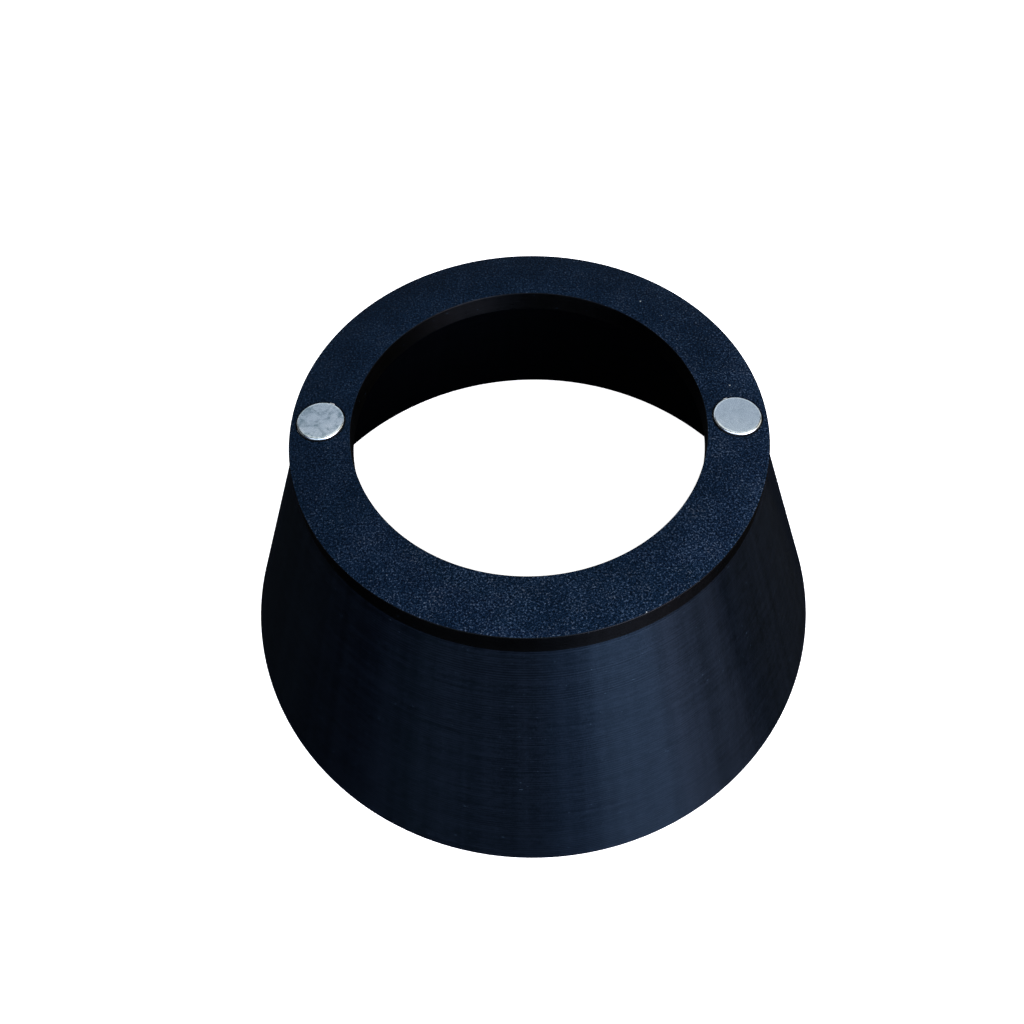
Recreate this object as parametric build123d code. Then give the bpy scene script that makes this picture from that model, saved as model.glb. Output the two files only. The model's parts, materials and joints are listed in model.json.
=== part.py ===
from build123d import *
import os

# A magnetic snoot for a lamp head or lens: one printed shell, open at both ends,
# with two disc magnets glued into blind pockets in its flat ring.
# Frame: millimetres, +Z along the light's axis, origin at the centre of the wide
# mouth, which the shell stands on. The magnets lie on the X axis.

# Driving dimensions.
RING_RADIUS = 50.0            # outside of the flat ring at the narrow end
BORE_RADIUS = 37.25           # the straight bore through the ring
HEIGHT = 65.5                 # from the mouth's rim to the ring's face
LAND_HEIGHT = 5.4             # straight band below the ring's outer edge
RING_THICKNESS = 5.0          # of the flat ring, which is the bore's length
MOUTH_RADIUS = 70.0           # outside of the wide mouth
WALL = 3.5                    # of the flared wall, measured level
MAGNET_RADIUS = 5.0
MAGNET_THICKNESS = 3.0
MAGNET_ROUNDING = 0.25        # on both edges of a magnet
MAGNET_PROUD = 0.6            # how far a magnet stands above the ring's face
MAGNET_PITCH_RADIUS = 43.7    # from the light's axis to a magnet's axis
POCKET_CLEARANCE = 0.15       # between a magnet and its pocket, all round
GLUE_FLOOR = 0.1              # adhesive under a magnet
GLUE_RISE = 1.2               # adhesive's height above the pocket's floor

# Sizes that follow from them.
LAND_FOOT = HEIGHT - LAND_HEIGHT
RING_UNDERSIDE = HEIGHT - RING_THICKNESS
FLARE = (MOUTH_RADIUS - RING_RADIUS) / LAND_FOOT
THROAT_RADIUS = MOUTH_RADIUS - WALL - FLARE * RING_UNDERSIDE
POCKET_RADIUS = MAGNET_RADIUS + POCKET_CLEARANCE
MAGNET_BOTTOM = HEIGHT + MAGNET_PROUD - MAGNET_THICKNESS
POCKET_FLOOR = MAGNET_BOTTOM - GLUE_FLOOR

SIDES = {"left": -1, "right": 1}


def upright_disc(side, radius, bottom, height):
    """A plain disc on a magnet's axis, from its bottom up."""
    place = Location((side * MAGNET_PITCH_RADIUS, 0, bottom))
    centred_on_its_foot = (Align.CENTER, Align.CENTER, Align.MIN)
    return place * Cylinder(radius, height, align=centred_on_its_foot)


def snoot_shell():
    """The printed shell: its section turned about Z, less the two pockets."""
    section = Polyline(
        (BORE_RADIUS, HEIGHT),
        (RING_RADIUS, HEIGHT),
        (RING_RADIUS, LAND_FOOT),
        (MOUTH_RADIUS, 0),
        (MOUTH_RADIUS - WALL, 0),
        (THROAT_RADIUS, RING_UNDERSIDE),
        (BORE_RADIUS, RING_UNDERSIDE),
        close=True,
    )
    shell = revolve(Plane.XZ * make_face(section), Axis.Z)
    for side in SIDES.values():
        shell -= upright_disc(side, POCKET_RADIUS, POCKET_FLOOR, HEIGHT)
    return shell


def magnet(side):
    """A disc magnet with rounded edges, standing a little above the ring."""
    disc = upright_disc(side, MAGNET_RADIUS, MAGNET_BOTTOM, MAGNET_THICKNESS)
    return fillet(disc.edges().filter_by(GeomType.CIRCLE), MAGNET_ROUNDING)


def magnet_adhesive(side):
    """The glue under a magnet and part of the way up the gap around it."""
    return upright_disc(side, POCKET_RADIUS, POCKET_FLOOR, GLUE_RISE) - magnet(side)


def main():
    """Writes each piece to its own file."""
    pieces = {"snoot_shell": snoot_shell()}
    for name, side in SIDES.items():
        pieces[f"magnet_{name}"] = magnet(side)
        pieces[f"magnet_adhesive_{name}"] = magnet_adhesive(side)
    os.makedirs("parts", exist_ok=True)
    for node, shape in pieces.items():
        export_step(shape, f"parts/{node}.step")
        print(node, round(shape.volume, 2), "cubic mm")


main()
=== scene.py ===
import json
import logging
import math
import random
from dataclasses import dataclass
from enum import Enum
from typing import Any

import bmesh
import bpy
from mathutils import Matrix, Vector


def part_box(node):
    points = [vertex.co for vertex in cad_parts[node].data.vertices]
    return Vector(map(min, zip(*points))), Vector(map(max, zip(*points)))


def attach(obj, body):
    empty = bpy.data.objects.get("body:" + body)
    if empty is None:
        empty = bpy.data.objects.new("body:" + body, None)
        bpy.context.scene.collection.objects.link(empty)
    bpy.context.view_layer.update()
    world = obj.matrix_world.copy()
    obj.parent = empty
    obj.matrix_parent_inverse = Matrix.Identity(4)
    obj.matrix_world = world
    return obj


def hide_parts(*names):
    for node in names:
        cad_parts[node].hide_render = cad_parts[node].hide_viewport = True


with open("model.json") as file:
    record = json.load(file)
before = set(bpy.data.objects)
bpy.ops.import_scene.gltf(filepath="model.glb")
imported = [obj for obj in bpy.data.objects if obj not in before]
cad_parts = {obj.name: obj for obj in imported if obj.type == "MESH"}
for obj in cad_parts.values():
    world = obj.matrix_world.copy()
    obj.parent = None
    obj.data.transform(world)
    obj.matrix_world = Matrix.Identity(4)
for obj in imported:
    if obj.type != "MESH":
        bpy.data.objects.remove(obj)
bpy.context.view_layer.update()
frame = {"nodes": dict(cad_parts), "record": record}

# A magnetic snoot: a flared printed tube, open at both ends, whose flat ring holds two disc
# magnets in glued pockets. Lengths are in metres. +Z runs from the wide mouth to the ring.

MM = 0.001
FULL_TURN = 2 * math.pi
FLAT = 1e-7  # how far from a level a vertex on it may be
LEVEL = 0.9999  # the least upward normal of a level face
MERGE = 1e-6  # how close two vertices are when they are one
BODY = "root"

Tone = tuple[float, float, float]
Way = tuple[float, float, float]
Pair = tuple[float, float]

log = logging.getLogger("snoot")


class Side(Enum):
    """Which side of the light's axis a magnet is on, as the sign of its X."""

    LEFT = -1
    RIGHT = 1

    @property
    def word(self) -> str:
        """The side as node names spell it."""
        return self.name.lower()


class Zone(Enum):
    """The parts of the shell that differ in finish or in painted shade, as the numbers of its
    material slots.
    """

    WALL = 0
    FACE = 1
    BAND = 2
    INSIDE = 3


# ---------------------------------------------------------------- shader expressions


class Value:
    """A number, vector or colour inside a material, used in plain arithmetic."""

    def __init__(self, recipe: "Recipe", socket: bpy.types.NodeSocket) -> None:
        """Wraps one output socket.

        Args:
            recipe: The material being written.
            socket: The output that carries the value.
        """
        self.recipe = recipe
        self.socket = socket

    def maths(self, operation: str, *others: Any, first: Any = None) -> "Value":
        """Adds one Math node.

        Args:
            operation: The Math node's operation.
            others: The values after this one.
            first: The value before this one, where this one comes second.

        Returns:
            The node's result.
        """
        values = [self, *others] if first is None else [first, self]
        return self.recipe.node(
            "ShaderNodeMath", {"operation": operation}, dict(enumerate(values))
        )

    def __add__(self, other: Any) -> "Value":
        """This plus other."""
        return self.maths("ADD", other)

    def __radd__(self, other: Any) -> "Value":
        """Other plus this."""
        return self.maths("ADD", other)

    def __sub__(self, other: Any) -> "Value":
        """This minus other."""
        return self.maths("SUBTRACT", other)

    def __rsub__(self, other: Any) -> "Value":
        """Other minus this."""
        return self.maths("SUBTRACT", first=other)

    def __mul__(self, other: Any) -> "Value":
        """This times other."""
        return self.maths("MULTIPLY", other)

    def __rmul__(self, other: Any) -> "Value":
        """Other times this."""
        return self.maths("MULTIPLY", other)

    def ramp(self, low: float, high: float) -> "Value":
        """Rises smoothly from 0 at low to 1 at high.

        Args:
            low: Where the rise begins.
            high: Where it ends; it may be below low for a fall.

        Returns:
            The eased value.
        """
        return self.recipe.node(
            "ShaderNodeMapRange",
            {"interpolation_type": "SMOOTHSTEP"},
            {"Value": self, "From Min": low, "From Max": high},
        )


class Recipe:
    """Writes one material, node by node."""

    def __init__(self, name: str) -> None:
        """Starts a material with an output and nothing else.

        Args:
            name: The material's name.
        """
        self.material = bpy.data.materials.new(name)
        self.material.use_nodes = True
        self.tree = self.material.node_tree
        self.tree.nodes.clear()

    def node(
        self,
        kind: str,
        settings: dict[str, Any] | None = None,
        sockets: dict[str | int, Any] | None = None,
        out: str | int = 0,
    ) -> Value:
        """Adds a node, sets it, and joins its sockets.

        Args:
            kind: The node's type.
            settings: Its properties, which are set before its sockets.
            sockets: Its inputs by name or number, as numbers, tuples or Values.
            out: The output to hand back, by name or number.

        Returns:
            That output.
        """
        made = self.tree.nodes.new(kind)
        for key, setting in (settings or {}).items():
            setattr(made, key, setting)
        for key, given in (sockets or {}).items():
            if isinstance(given, Value):
                self.tree.links.new(given.socket, made.inputs[key])
            else:
                opaque = made.inputs[key].type == "RGBA"
                made.inputs[key].default_value = (*given, 1.0) if opaque else given
        return Value(self, made.outputs[out] if len(made.outputs) else None)

    def place(self) -> Value:
        """The point on the piece, in the object's own metres."""
        return self.node("ShaderNodeTexCoord", out="Object")

    def stretched(self, vector: Value, by: Way) -> Value:
        """A vector multiplied along each axis.

        Args:
            vector: The vector.
            by: The factor for each axis.

        Returns:
            The product.
        """
        return self.node("ShaderNodeVectorMath", {"operation": "MULTIPLY"}, {0: vector, 1: by})

    def along(self, vector: Value, way: Way) -> Value:
        """How far a vector goes in a given way.

        Args:
            vector: The vector.
            way: The way, whose length multiplies the result.

        Returns:
            The distance.
        """
        return self.node(
            "ShaderNodeVectorMath", {"operation": "DOT_PRODUCT"}, {0: vector, 1: way}, out="Value"
        )

    def direction(self, vector: Value) -> Value:
        """The unit vector along a vector."""
        return self.node("ShaderNodeVectorMath", {"operation": "NORMALIZE"}, {0: vector})

    def reach(self, vector: Value) -> Value:
        """A vector's length."""
        return self.node("ShaderNodeVectorMath", {"operation": "LENGTH"}, {0: vector}, out="Value")

    def noise(
        self, at: Value, scale: float, detail: float = 2.0, rough: float = 0.5, swirl: float = 0.0
    ) -> Value:
        """Smooth noise from 0 to 1.

        Args:
            at: The point that is looked up.
            scale: How many lumps there are to a unit of length.
            detail: How many finer octaves are added.
            rough: How strong each finer octave is.
            swirl: How far the pattern is bent by itself.

        Returns:
            The noise.
        """
        sockets = {
            "Vector": at,
            "Scale": scale,
            "Detail": detail,
            "Roughness": rough,
            "Distortion": swirl,
        }
        return self.node("ShaderNodeTexNoise", {"noise_dimensions": "3D"}, sockets)

    def blend(self, factor: Any, low: Any, high: Any) -> Value:
        """A colour between two others.

        Args:
            factor: 0 gives low and 1 gives high.
            low: The first colour, red, green and blue.
            high: The second colour.

        Returns:
            The mixed colour.
        """
        ends = {0: factor, 6: low, 7: high}
        return self.node("ShaderNodeMix", {"data_type": "RGBA"}, ends, out=2)

    def bump(self, height: Value) -> Value:
        """The normal of a surface raised by height, in metres."""
        sockets = {"Height": height, "Distance": 1.0, "Strength": 1.0}
        return self.node("ShaderNodeBump", sockets=sockets)

    def finish(self, **sockets: Any) -> bpy.types.Material:
        """Adds the surface shader and ends the material.

        Args:
            sockets: The Principled shader's inputs, with _ for a space.

        Returns:
            The material.
        """
        named = {key.replace("_", " "): given for key, given in sockets.items()}
        surface = self.node("ShaderNodeBsdfPrincipled", sockets=named)
        self.node("ShaderNodeOutputMaterial", sockets={"Surface": surface})
        return self.material


# ---------------------------------------------------------------- finishes


@dataclass(frozen=True)
class LayeredPlastic:
    """Black filament with a blue cast, laid in level layers round the tube's axis.

    Its fields hold tones, lengths in metres, and scales in lumps to the metre. A share says
    how much a pattern counts in the layers' shade, a swing how much the roughness varies, and
    a span where a pattern begins to show and where it shows in full.
    """

    name: str = "printed_wall"
    tone: Tone = (0.0009, 0.0014, 0.0027)
    gloss: float = 0.195
    gloss_tint: Tone = (0.32, 0.61, 1.0)
    roughness: float = 0.34
    layer_swing: float = 0.12
    patch_swing: float = 0.06
    sheen_along_layers: float = 1.0
    sheen_turn: float = 0.25
    pitch: float = 0.62 * MM
    pitches_together: int = 4
    course: float = 0.3 * MM
    relief: float = 0.008 * MM
    band: float = 0.55 * MM
    long_fade: float = 30 * MM
    short_fade: float = 2.2 * MM
    fall_turn: float = 0.055
    drift_scale: float = 90.0
    patch_scale: float = 260.0
    ridge_share: float = 0.26
    least_ridge_share: float = 0.02
    ridge_span: Pair = (0.38, 0.72)
    band_share: float = 0.45
    fine_share: float = 0.5
    contrast: float = 0.7
    shade_span: Pair = (0.3, 0.7)
    glaze: float = 0.12
    glaze_span: Pair = (0.3, 0.8)
    glaze_roughness: float = 0.4
    nick_tone: Tone = (0.022, 0.036, 0.052)
    nick_length: float = 1.0 * MM
    nick_span: Pair = (0.76, 0.82)

    def material(self) -> bpy.types.Material:
        """Writes the nodes: level lines that come and go, faint upright streaks and nicks.

        Returns:
            The material.
        """
        recipe = Recipe(self.name)
        place = recipe.place()
        drift = recipe.noise(place, self.drift_scale, detail=1.0) * FULL_TURN
        height = recipe.along(place, (0, 0, 1))
        ridges = (height * (FULL_TURN / self.pitch) + drift).maths("SINE")
        shown = self.streaks(recipe, place, self.long_fade, self.pitch * self.pitches_together)
        shown = shown.ramp(*self.ridge_span)
        dashes = self.streaks(recipe, place, self.short_fade, self.course) - 0.5
        around = recipe.direction(recipe.stretched(place, (1, 1, 0)))
        falls = recipe.noise(around, 1 / self.fall_turn, rough=0.7) - 0.5
        specks = self.streaks(recipe, place, self.course, self.course) - 0.5
        courses = 0.5 + ridges * (shown * self.ridge_share + self.least_ridge_share)
        bands = self.streaks(recipe, place, self.long_fade, self.band) - 0.5
        courses = courses + bands * self.band_share + (dashes + falls + specks) * self.fine_share
        patches = recipe.noise(place, self.patch_scale, detail=3.0, rough=0.6)
        ends = self.shade(1 - self.contrast), self.shade(1 + self.contrast)
        layered = recipe.blend(courses.ramp(*self.shade_span), *ends)
        nicks = self.streaks(recipe, place, self.nick_length, self.course).ramp(*self.nick_span)
        swing = (courses - 0.5) * self.layer_swing + (patches - 0.5) * self.patch_swing
        return recipe.finish(
            Base_Color=recipe.blend(nicks, layered, self.nick_tone),
            Roughness=self.roughness + swing,
            Specular_IOR_Level=self.gloss,
            Specular_Tint=self.gloss_tint,
            Anisotropic=self.sheen_along_layers,
            Anisotropic_Rotation=self.sheen_turn,
            Coat_Weight=courses.ramp(*self.glaze_span) * self.glaze,
            Coat_Roughness=self.glaze_roughness,
            Normal=recipe.bump(courses * self.relief),
        )

    def streaks(self, recipe: Recipe, place: Value, fade: float, course: float) -> Value:
        """Noise drawn out into level streaks.

        Args:
            recipe: The material being written.
            place: The point on the piece.
            fade: How far round the wall a streak lasts.
            course: How tall a streak is.

        Returns:
            The streaks, from 0 to 1.
        """
        drawn_out = recipe.stretched(place, (1 / fade, 1 / fade, 1 / course))
        return recipe.noise(drawn_out, 1.0, detail=1.0)

    def shade(self, share: float) -> Tone:
        """The tone times share."""
        return tuple(channel * share for channel in self.tone)


@dataclass(frozen=True)
class BedTexturedPlastic:
    """The first layer, which took the grain of a textured print bed.

    Its fields hold tones, lengths in metres, and scales in lumps to the metre. Shares, swings
    and spans are as in the layered plastic. Towards painted_lit_side the flecks are stronger
    and the ground paler: a painted sparkle of the lights on that side.
    """

    inner_edge: float
    outer_edge: float
    name: str = "printed_ring_face"
    pit_tone: Tone = (0.0004, 0.0016, 0.0044)
    tone: Tone = (0.0017, 0.0063, 0.0153)
    painted_lit_tone: Tone = (0.0021, 0.0078, 0.0195)
    cool_fleck: Tone = (0.042, 0.065, 0.100)
    warm_fleck: Tone = (0.055, 0.068, 0.084)
    dust_tone: Tone = (0.22, 0.25, 0.25)
    gloss_tint: Tone = (0.5, 0.8, 1.0)
    gloss: float = 0.03
    roughness: float = 0.6
    patch_swing: float = 0.1
    fleck_swing: float = 0.12
    grain: float = 0.42 * MM
    fineness: float = 1.9
    relief: float = 0.16 * MM
    line_width: float = 0.45 * MM
    lined_margin: float = 1.8 * MM
    painted_lit_side: Way = (1.0, -1.0, 0.0)
    patch_scale: float = 140.0
    hue_scale: float = 260.0
    dust_scale: float = 1100.0
    line_relief: float = 0.004 * MM
    lump_share: float = 0.6
    patch_share: float = 0.12
    line_share: float = 0.02
    painted_rim_share: float = 0.05
    painted_lit_share: float = 0.012
    least_fleck: float = 0.45
    usual_fleck: float = 0.3
    ground_span: Pair = (0.4, 0.55)
    fleck_span: Pair = (0.53, 0.72)
    hue_span: Pair = (0.44, 0.7)
    dust_span: Pair = (0.885, 0.9)

    def material(self) -> bpy.types.Material:
        """Writes the nodes: pale flecks in a dark ground, partly painted glints, the printed lines
        along both edges, a painted highlight along the outer edge and a painted sparkle towards one
        side.

        Returns:
            The material.
        """
        recipe = Recipe(self.name)
        place = recipe.place()
        lumps = recipe.noise(place, 1 / self.grain, rough=0.6)
        fine = recipe.noise(place, self.fineness / self.grain, detail=1.0)
        patches = recipe.noise(place, self.patch_scale)
        hues = recipe.noise(place, self.hue_scale, swirl=0.5)
        dust = recipe.noise(place, self.dust_scale, detail=0.0).ramp(*self.dust_span)
        radius = recipe.reach(recipe.stretched(place, (1, 1, 0)))
        inside = (radius - self.inner_edge).ramp(self.lined_margin, 0)
        outside = (self.outer_edge - radius).ramp(self.lined_margin, 0)
        lines = (radius * (FULL_TURN / self.line_width)).maths("SINE") * (inside + outside)
        # Painted highlight: a paler line of flecks along the ring's outer edge.
        painted_rim_highlight = (self.outer_edge - radius).ramp(self.line_width, 0)
        # Painted sparkle: flecks grow stronger and the ground paler towards the front-right, where
        # the lights are.
        painted_lit_ramp = recipe.along(place, self.painted_lit_side).ramp(-self.outer_edge, self.outer_edge)
        mixed = lumps * self.lump_share + fine * (1 - self.lump_share)
        mixed = mixed + (patches - 0.5) * self.patch_share + lines * self.line_share
        mixed = mixed + painted_rim_highlight * self.painted_rim_share + (painted_lit_ramp - 0.5) * self.painted_lit_share
        strength = painted_lit_ramp * (1 - self.least_fleck) + self.least_fleck
        # The flecks are the bed's grain and, in part, a painted glint of the lights in that grain.
        flecks_and_painted_glints = mixed.ramp(*self.fleck_span) * strength
        toned = recipe.blend(painted_lit_ramp, self.tone, self.painted_lit_tone)
        ground = recipe.blend(mixed.ramp(*self.ground_span), self.pit_tone, toned)
        fleck_and_glint_tone = recipe.blend(hues.ramp(*self.hue_span), self.cool_fleck, self.warm_fleck)
        speckled = recipe.blend(flecks_and_painted_glints, ground, fleck_and_glint_tone)
        swing = (patches - 0.5) * self.patch_swing - (flecks_and_painted_glints - self.usual_fleck) * self.fleck_swing
        return recipe.finish(
            Base_Color=recipe.blend(dust, speckled, self.dust_tone),
            Roughness=self.roughness + swing,
            Specular_IOR_Level=self.gloss,
            Specular_Tint=self.gloss_tint,
            Normal=recipe.bump(lumps * self.relief + lines * self.line_relief),
        )


@dataclass(frozen=True)
class NickelPlate:
    """Satin nickel plating with faint scuffs, and with stains where glue touched it."""

    name: str
    stain: float
    tone: Tone = (0.59, 0.66, 0.71)
    stained_tone: Tone = (0.24, 0.32, 0.36)
    scuffed_tone: Tone = (0.80, 0.85, 0.88)
    roughness: float = 0.26
    smear_swing: float = 0.06
    smear_scale: float = 330.0
    smear_share: float = 0.6
    spot_scale: float = 900.0
    stain_span: Pair = (0.44, 0.66)
    scuff_scale: float = 300.0
    scuff_span: Pair = (0.5, 0.8)
    scuff_strength: float = 0.5

    def material(self) -> bpy.types.Material:
        """Writes the nodes: plating, broad smears, small dark stains and pale scuffs.

        Returns:
            The material.
        """
        recipe = Recipe(self.name)
        place = recipe.place()
        smears = recipe.noise(place, self.smear_scale, detail=3.0, rough=0.55, swirl=1.2)
        spots = recipe.noise(place, self.spot_scale, swirl=0.8)
        marks = smears * self.smear_share + spots * (1 - self.smear_share)
        stains = marks.ramp(*self.stain_span) * self.stain
        scuffs = recipe.noise(place, self.scuff_scale, swirl=1.0).ramp(*self.scuff_span)
        plated = recipe.blend(scuffs * self.scuff_strength, self.tone, self.scuffed_tone)
        return recipe.finish(
            Base_Color=recipe.blend(stains, plated, self.stained_tone),
            Metallic=1.0,
            Roughness=self.roughness + (smears - 0.5) * self.smear_swing,
        )


@dataclass(frozen=True)
class SetGlue:
    """Clear glue, set hard."""

    name: str = "set_glue"
    tone: Tone = (0.30, 0.31, 0.30)
    pale_tone: Tone = (0.45, 0.46, 0.45)
    roughness: float = 0.15
    lump_swing: float = 0.1
    lump_scale: float = 2500.0
    relief: float = 0.01 * MM

    def material(self) -> bpy.types.Material:
        """Writes the nodes: a glossy skin with faint unevenness.

        Returns:
            The material.
        """
        recipe = Recipe(self.name)
        lumps = recipe.noise(recipe.place(), self.lump_scale)
        return recipe.finish(
            Base_Color=recipe.blend(lumps, self.tone, self.pale_tone),
            Roughness=self.roughness + lumps * self.lump_swing,
            Normal=recipe.bump(lumps * self.relief),
        )


# ---------------------------------------------------------------- mesh work


class Blank:
    """A piece being shaped with mesh operators."""

    def __init__(self) -> None:
        """Starts with nothing."""
        self.mesh = bmesh.new()

    def outline(self, points: list[Pair], closed: bool) -> list[bmesh.types.BMVert]:
        """Draws a section in the XZ plane.

        Args:
            points: Distances from the Z axis and heights.
            closed: Whether the last point joins the first.

        Returns:
            The section's vertices.
        """
        corners = [self.mesh.verts.new((x, 0, z)) for x, z in points]
        ends = corners[1:] + corners[:1] if closed else corners[1:]
        for start, end in zip(corners, ends):
            self.mesh.edges.new((start, end))
        return corners

    def round_corners(
        self, corners: list[bmesh.types.BMVert], radius: float, segments: int
    ) -> None:
        """Rounds corners of a section.

        Args:
            corners: The section's vertices to round.
            radius: How far from the corner the rounding starts.
            segments: How many edges make one rounding.
        """
        bmesh.ops.bevel(
            self.mesh,
            geom=corners,
            offset=radius,
            offset_type="OFFSET",
            affect="VERTICES",
            segments=segments,
            profile=0.5,
            material=-1,
        )

    def turn(self, steps: int, about: Vector = Vector()) -> None:
        """Turns everything drawn so far into a solid of revolution.

        Args:
            steps: How many segments go round.
            about: A point on the upright axis.
        """
        bmesh.ops.spin(
            self.mesh,
            geom=self.mesh.verts[:] + self.mesh.edges[:],
            cent=about,
            axis=(0, 0, 1),
            dvec=(0, 0, 0),
            angle=FULL_TURN,
            steps=steps,
            use_merge=True,
            use_duplicate=False,
        )
        bmesh.ops.remove_doubles(self.mesh, verts=self.mesh.verts, dist=MERGE)
        bmesh.ops.recalc_face_normals(self.mesh, faces=self.mesh.faces)

    def finish(self, name: str, materials: list[bpy.types.Material]) -> bpy.types.Object:
        """Makes the object.

        Args:
            name: The object's name.
            materials: Its material slots.

        Returns:
            The object, linked to the scene.
        """
        data = bpy.data.meshes.new(name)
        self.mesh.to_mesh(data)
        self.mesh.free()
        made = bpy.data.objects.new(name, data)
        bpy.context.scene.collection.objects.link(made)
        for material in materials:
            data.materials.append(material)
        return made


# ---------------------------------------------------------------- the snoot's pieces


@dataclass
class SnootShell:
    """The printed tube, from its flat ring to its wide mouth.

    Its fields hold lengths in metres, how many segments go round the tube, round a pocket and
    over an edge, and the angle in degrees past which an edge stays sharp. A CAD vertex within
    close of a level or a radius belongs to it.
    """

    node: str = "snoot_shell"
    steps: int = 256
    pocket_steps: int = 64
    pocket_edge_steps: int = 2
    edge_steps: int = 3
    edge_rounding: float = 0.15 * MM
    course: float = 0.5 * MM
    course_scatter: float = 0.0015 * MM
    crease: float = 40.0
    seed: int = 7
    close: float = 0.01 * MM

    def __post_init__(self) -> None:
        """Reads the sizes off the CAD shell."""
        self.chance = random.Random(self.seed)
        low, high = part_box(self.node)
        points = [v.co for v in frame["nodes"][self.node].data.vertices]
        bore = next(m for m in frame["record"]["mounts"] if m["name"] == "lens_bore")
        self.top = high.z
        self.underside = self.top - bore["dims"]["length_mm"] * MM
        self.bore, self.ring = self.radii_near(points, self.top)
        self.throat = self.radii_near(points, self.underside)[1]
        self.wall_foot, self.mouth = self.radii_near(points, low.z)
        on_ring = [p.z for p in points if abs(p.xy.length - self.ring) < self.close]
        self.land_foot = min(on_ring)

    def radii_near(self, points: list[Vector], height: float) -> Pair:
        """The least and greatest distance from the axis at one height.

        Args:
            points: The CAD shell's vertices.
            height: The height that is looked at.

        Returns:
            The two radii.
        """
        found = [p.xy.length for p in points if abs(p.z - height) < self.close]
        return min(found), max(found)

    def build(self) -> bpy.types.Object:
        """Turns the section, cuts the pockets and dresses the shell.

        Returns:
            The finished piece.
        """
        blank = Blank()
        turning_points = [
            (self.bore, self.top),
            (self.ring, self.top),
            (self.ring, self.land_foot),
            (self.mouth, 0),
            (self.wall_foot, 0),
            (self.throat, self.underside),
            (self.bore, self.underside),
        ]
        section = []
        for start, end in zip(turning_points, turning_points[1:] + turning_points[:1]):
            section += [start, *self.courses(start, end)]
        corners = blank.outline(section, closed=True)
        rounded = turning_points[0:2] + turning_points[3:5]
        edges = [corners[section.index(point)] for point in rounded]
        blank.round_corners(edges, self.edge_rounding, self.edge_steps)
        blank.turn(self.steps)
        self.cut_pockets(blank)
        finishes = self.finishes()
        made = blank.finish(self.node + "_print", [finishes[zone].material() for zone in Zone])
        self.shade(made)
        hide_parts(self.node)
        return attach(made, BODY)

    def finishes(self) -> dict[Zone, LayeredPlastic | BedTexturedPlastic]:
        """The finish of each part of the shell, with painted shade on the band and the inside.

        Returns:
            The finishes by zone. The band is the upright one under the ring's edge and the
            one that lines the bore.
        """
        # Painted shade: the inside is a darker copy of the wall plastic, as the tube's inside lies
        # in shade.
        inside_painted_shade_tone = (0.0004, 0.0004, 0.0006)
        return {
            Zone.WALL: LayeredPlastic(),
            Zone.FACE: BedTexturedPlastic(self.bore, self.ring),
            # Painted shade: the band is a near-black copy of the wall plastic, and its greyer gloss
            # tint is a painted reflection of the room.
            Zone.BAND: LayeredPlastic(
                "printed_land",
                tone=(0.0001, 0.0001, 0.0001),
                gloss=0.14,
                gloss_tint=(0.52, 0.58, 0.68),
                glaze=0.0,
                roughness=0.32,
                sheen_along_layers=0.95,
            ),
            Zone.INSIDE: LayeredPlastic(
                "printed_inside",
                tone=inside_painted_shade_tone,
                gloss=0.05,
                glaze=0.0,
                nick_tone=inside_painted_shade_tone,
                roughness=0.42,
                sheen_along_layers=0.6,
            ),
        }

    def courses(self, start: Pair, end: Pair) -> list[Pair]:
        """The printed courses along one side of the section, each sunk a little by chance.

        Args:
            start: The side's first corner, its distance from the axis and its height.
            end: Its last corner.

        Returns:
            A point for each course between the corners, or none on a level side.
        """
        count = int(abs(end[1] - start[1]) / self.course)
        inward = -1 if end[1] < start[1] else 1
        points = []
        for i in range(1, count):
            share = i / count
            radius = start[0] + (end[0] - start[0]) * share
            height = start[1] + (end[1] - start[1]) * share
            points.append((radius + inward * self.chance.random() * self.course_scatter, height))
        return points

    def cut_pockets(self, blank: Blank) -> None:
        """Opens the ring's face round each magnet and sinks a cup there.

        Args:
            blank: The turned shell.
        """
        mesh = blank.mesh
        level = [f for f in mesh.faces if all(abs(v.co.z - self.top) < FLAT for v in f.verts)]
        bmesh.ops.delete(mesh, geom=level, context="FACES_ONLY")
        for side in Side:
            low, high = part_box(f"magnet_adhesive_{side.word}")
            centre = (low + high) / 2
            cup = Blank()
            radius = (high.x - low.x) / 2
            corners = cup.outline(
                [
                    (centre.x + radius + self.edge_rounding, self.top),
                    (centre.x + radius, self.top - self.edge_rounding),
                    (centre.x + radius, low.z),
                    (centre.x, low.z),
                ],
                closed=False,
            )
            cup.round_corners(corners[1:2], self.edge_rounding / 2, self.pocket_edge_steps)
            cup.turn(self.pocket_steps, Vector((centre.x, centre.y, 0)))
            data = bpy.data.meshes.new("cup")
            cup.mesh.to_mesh(data)
            cup.mesh.free()
            mesh.from_mesh(data)
            bpy.data.meshes.remove(data)
        rims = [
            e
            for e in mesh.edges
            if e.is_boundary and all(abs(v.co.z - self.top) < FLAT for v in e.verts)
        ]
        bmesh.ops.triangle_fill(mesh, edges=rims, use_beauty=True, normal=(0, 0, 1))
        bmesh.ops.recalc_face_normals(mesh, faces=mesh.faces)

    def shade(self, made: bpy.types.Object) -> None:
        """Gives each face its finish, and smooth shading where the surface curves.

        Args:
            made: The shell.
        """
        for face in made.data.polygons:
            face.material_index = self.zone(face).value
        made.data.shade_smooth()
        made.data.set_sharp_from_angle(angle=math.radians(self.crease))

    def zone(self, face: bpy.types.MeshPolygon) -> Zone:
        """Which part of the shell a face belongs to.

        Args:
            face: One of the shell's faces.

        Returns:
            Its zone.
        """
        if face.normal.z > LEVEL and face.center.z > self.underside:
            return Zone.FACE
        if face.normal.xy.dot(face.center.xy) > 0:
            return Zone.BAND if face.center.z > self.land_foot else Zone.WALL
        return Zone.BAND if face.center.z > self.underside else Zone.INSIDE


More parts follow.
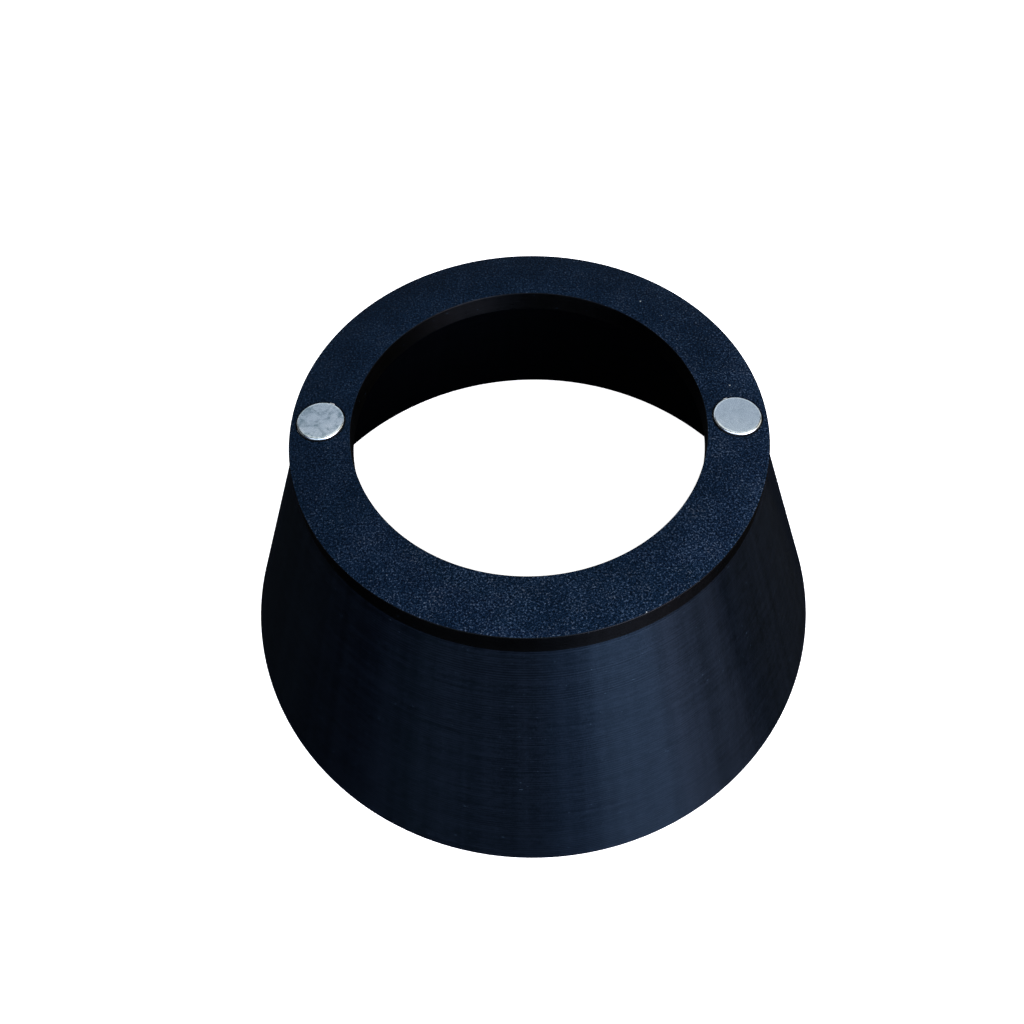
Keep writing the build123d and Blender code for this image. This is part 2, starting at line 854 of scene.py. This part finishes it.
@dataclass
class Magnet:
    """One plated disc magnet, whose edge falls away from its faces in a quarter of an ellipse."""

    side: Side
    stain: float
    edge_width: float = 0.6 * MM
    edge_drop: float = 0.45 * MM
    edge_steps: int = 9
    steps: int = 96
    crease: float = 30.0

    def build(self) -> bpy.types.Object:
        """Turns the disc and dresses it.

        Returns:
            The finished piece.
        """
        node = f"magnet_{self.side.word}"
        low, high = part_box(node)
        centre = (low + high) / 2
        reach = (high.x - low.x) / 2 - self.edge_width
        edge = [
            (self.edge_width * math.sin(turn), self.edge_drop * (1 - math.cos(turn)))
            for turn in (i / self.edge_steps * math.pi / 2 for i in range(self.edge_steps + 1))
        ]
        blank = Blank()
        blank.outline(
            [
                (centre.x, high.z),
                *((centre.x + reach + out, high.z - drop) for out, drop in edge),
                *((centre.x + reach + out, low.z + drop) for out, drop in reversed(edge)),
                (centre.x, low.z),
            ],
            closed=False,
        )
        blank.turn(self.steps, Vector((centre.x, centre.y, 0)))
        finish = NickelPlate(f"nickel_{self.side.word}", self.stain)
        made = blank.finish(node + "_disc", [finish.material()])
        made.data.shade_smooth()
        made.data.set_sharp_from_angle(angle=math.radians(self.crease))
        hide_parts(node)
        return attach(made, BODY)


@dataclass
class Glue:
    """The glue round one magnet's foot. Its CAD solid keeps its shape."""

    side: Side

    def build(self) -> bpy.types.Object:
        """Gives the CAD solid its finish.

        Returns:
            The CAD piece.
        """
        made = frame["nodes"][f"magnet_adhesive_{self.side.word}"]
        made.material_slots[0].material = SetGlue().material()
        return made


@dataclass
class GlueBead:
    """Glue that was squeezed out at the back of one magnet and set there.

    turn is how far round the magnet it lies, in degrees from the back. A drop is between
    least_drop and the whole of the bead's width and height, and longer than wide by stretch.
    Its lower half is sunk in the ring's face.
    """

    side: Side
    turn: float = 22.0
    length: float = 0.7 * MM
    width: float = 0.32 * MM
    height: float = 0.3 * MM
    drops: int = 5
    least_drop: float = 0.7
    stretch: float = 1.6
    drop_steps: tuple[int, int] = (16, 10)
    seed: int = 11

    def build(self) -> bpy.types.Object:
        """Runs together a short row of drops along the magnet's edge.

        Returns:
            The finished piece.
        """
        low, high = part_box(f"magnet_{self.side.word}")
        centre = (low + high) / 2
        reach = (high.x - low.x) / 2 + self.width / 2
        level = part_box("snoot_shell")[1].z
        chance = random.Random(self.seed + self.side.value)
        blank = Blank()
        for i in range(self.drops):
            along = (i / (self.drops - 1) - 0.5) * self.length / reach
            bearing = math.radians(-self.side.value * self.turn) + along
            size = chance.uniform(self.least_drop, 1.0)
            at = Vector((math.sin(bearing), math.cos(bearing), 0)) * reach
            extent = Vector((self.width * self.stretch, self.width, self.height * 2)) * size
            bmesh.ops.create_uvsphere(
                blank.mesh,
                u_segments=self.drop_steps[0],
                v_segments=self.drop_steps[1],
                radius=0.5,
                matrix=Matrix.Translation(Vector((centre.x, centre.y, level)) + at)
                @ Matrix.Rotation(-bearing, 4, "Z")
                @ Matrix.Diagonal((*extent, 1)),
            )
        made = blank.finish(f"glue_bead_{self.side.word}", [SetGlue("bead_glue").material()])
        made.data.shade_smooth()
        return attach(made, BODY)


# ---------------------------------------------------------------- studio


@dataclass
class Softbox:
    """A rectangular light that faces the snoot. Angles are in degrees and power in watts."""

    name: str
    azimuth: float
    elevation: float
    distance: float
    width: float
    height: float
    power: float
    colour: Tone

    def build(self, target: Vector) -> bpy.types.Object:
        """Hangs the light.

        Args:
            target: The point it faces.

        Returns:
            The light's object.
        """
        data = bpy.data.lights.new(self.name, "AREA")
        data.shape = "RECTANGLE"
        data.size, data.size_y = self.width, self.height
        data.energy = self.power
        data.color = self.colour
        made = bpy.data.objects.new(self.name, data)
        made.visible_camera = False
        bpy.context.scene.collection.objects.link(made)
        away = heading(self.azimuth, self.elevation)
        made.matrix_world = Matrix.Translation(target + away * self.distance) @ (
            away.to_track_quat("Z", "Y").to_matrix().to_4x4()
        )
        return made


def heading(azimuth: float, elevation: float) -> Vector:
    """The direction towards a viewer who stands round the snoot.

    Args:
        azimuth: Degrees round from the front, towards +X.
        elevation: Degrees above the horizon.

    Returns:
        A unit vector.
    """
    a, e = math.radians(azimuth), math.radians(elevation)
    return Vector((math.sin(a) * math.cos(e), -math.cos(a) * math.cos(e), math.sin(e)))


@dataclass
class Viewpoint:
    """The camera: a normal lens held close above the ring.

    Angles are in degrees, and the lens and its sensor in millimetres.
    """

    azimuth: float = 1.5
    elevation: float = 51.64
    roll: float = -1.91
    distance: float = 213.3 * MM
    ring_right: float = 1.7 * MM
    ring_below: float = 0.7 * MM
    lens: float = 35.76
    sensor: float = 36.0
    shift: Pair = (-0.008, -0.0938)
    nearest: float = 10 * MM

    def build(self, ring_centre: Vector) -> bpy.types.Object:
        """Places the camera.

        Args:
            ring_centre: The middle of the ring's face.

        Returns:
            The camera's object.
        """
        data = bpy.data.cameras.new("camera")
        data.sensor_width = self.sensor
        data.lens = self.lens
        data.shift_x, data.shift_y = self.shift
        data.clip_start = self.nearest
        back = heading(self.azimuth, self.elevation)
        level = Vector((0, 0, 1)).cross(back).normalized()
        turn = Matrix.Rotation(math.radians(self.roll), 3, back)
        right = turn @ level
        up = back.cross(right)
        at = ring_centre + back * self.distance - right * self.ring_right + up * self.ring_below
        made = bpy.data.objects.new("camera", data)
        made.matrix_world = Matrix.Translation(at) @ Matrix((right, up, back)).transposed().to_4x4()
        bpy.context.scene.collection.objects.link(made)
        bpy.context.scene.camera = made
        return made


@dataclass
class Studio:
    """A plain pale floor under plain soft light."""

    floor_size: float = 6.0
    floor_tone: float = 0.8
    floor_roughness: float = 0.9
    floor_glow: float = 0.97
    target_height: float = 30 * MM
    surround_tone: Tone = (0.83, 0.83, 1.0)
    surround_strength: float = 0.006
    pale_tone: Tone = (0.95, 0.95, 0.95)

    def build(self) -> None:
        """Lays the floor and sets the lights and the world."""
        blank = Blank()
        bmesh.ops.create_grid(blank.mesh, x_segments=1, y_segments=1, size=self.floor_size / 2)
        floor = blank.finish("floor", [self.floor_finish()])
        floor.visible_diffuse = False
        floor.visible_glossy = False
        target = Vector((0, 0, self.target_height))
        for box in self.lights():
            box.build(target)
            log.info("light %s", box.name)
        self.world()

    def floor_finish(self) -> bpy.types.Material:
        """The floor's even pale finish.

        Returns:
            The material.
        """
        tone = (self.floor_tone,) * 3
        return Recipe("pale_floor").finish(
            Base_Color=tone,
            Roughness=self.floor_roughness,
            Specular_IOR_Level=0.0,
            Emission_Color=(1.0, 1.0, 1.0),
            Emission_Strength=self.floor_glow,
        )

    def lights(self) -> list[Softbox]:
        """The softboxes round the snoot.

        Returns:
            The lights, each as its name, azimuth, elevation, distance, width, height, power
            and colour.
        """
        return [
            Softbox("window", 32, 22, 1.5, 0.61, 1.4, 33, (0.84, 0.84, 1.0)),
            Softbox("window_far", 48.5, 22, 1.5, 0.28, 1.4, 10.5, (1.0, 0.86, 0.98)),
            Softbox("window_side", 62.5, 22, 1.5, 0.45, 1.4, 7.5, (1.0, 0.84, 0.92)),
            Softbox("window_edge", 12.8, 22, 1.5, 0.41, 1.4, 6.0, (0.58, 0.7, 1.0)),
            Softbox("front_fill", -28, 22, 1.5, 1.95, 1.4, 2.0, (0.45, 0.48, 1.0)),
            Softbox("front_high", 14, 42, 0.6, 1.6, 0.6, 7.4, (0.9, 0.94, 1.0)),
            Softbox("sky", 180, 50, 1.8, 2.6, 0.9, 4.2, (0.72, 0.83, 1.0)),
            Softbox("sky_high", 180, 78, 1.8, 2.6, 1.0, 10.5, (0.97, 0.97, 0.92)),
            Softbox("back_low", 180, 20, 1.2, 4.0, 0.8, 10, (0.9, 0.95, 1.0)),
            Softbox("right_room", 95, 15, 1.5, 1.0, 0.9, 4.0, (1.0, 0.88, 0.7)),
            Softbox("left_room", -95, 15, 1.5, 1.0, 0.9, 0.8, (1.0, 0.92, 0.84)),
        ]

    def world(self) -> None:
        """A dim even surround, which the camera sees as pale."""
        world = bpy.data.worlds.new("surround")
        world.use_nodes = True
        nodes, links = world.node_tree.nodes, world.node_tree.links
        nodes.clear()
        dim = nodes.new("ShaderNodeBackground")
        dim.inputs[0].default_value = (*self.surround_tone, 1.0)
        dim.inputs[1].default_value = self.surround_strength
        pale = nodes.new("ShaderNodeBackground")
        pale.inputs[0].default_value = (*self.pale_tone, 1.0)
        ray = nodes.new("ShaderNodeLightPath")
        mix = nodes.new("ShaderNodeMixShader")
        out = nodes.new("ShaderNodeOutputWorld")
        links.new(ray.outputs["Is Camera Ray"], mix.inputs[0])
        links.new(dim.outputs[0], mix.inputs[1])
        links.new(pale.outputs[0], mix.inputs[2])
        links.new(mix.outputs[0], out.inputs[0])
        bpy.context.scene.world = world


def main() -> None:
    """Builds the snoot, then the studio round it."""
    logging.basicConfig(level=logging.INFO, format="%(name)s: %(message)s")
    shell = SnootShell()
    parts = [
        shell,
        Magnet(Side.LEFT, stain=0.9),
        Magnet(Side.RIGHT, stain=0.25),
        Glue(Side.LEFT),
        Glue(Side.RIGHT),
        GlueBead(Side.LEFT),
        GlueBead(Side.RIGHT),
    ]
    for part in parts:
        made = part.build()
        log.info("%s: %d faces", made.name, len(made.data.polygons))
    Studio().build()
    Viewpoint().build(Vector((0, 0, shell.top)))
    bpy.context.scene.view_settings.view_transform = "Standard"


if __name__ == "__main__":
    main()
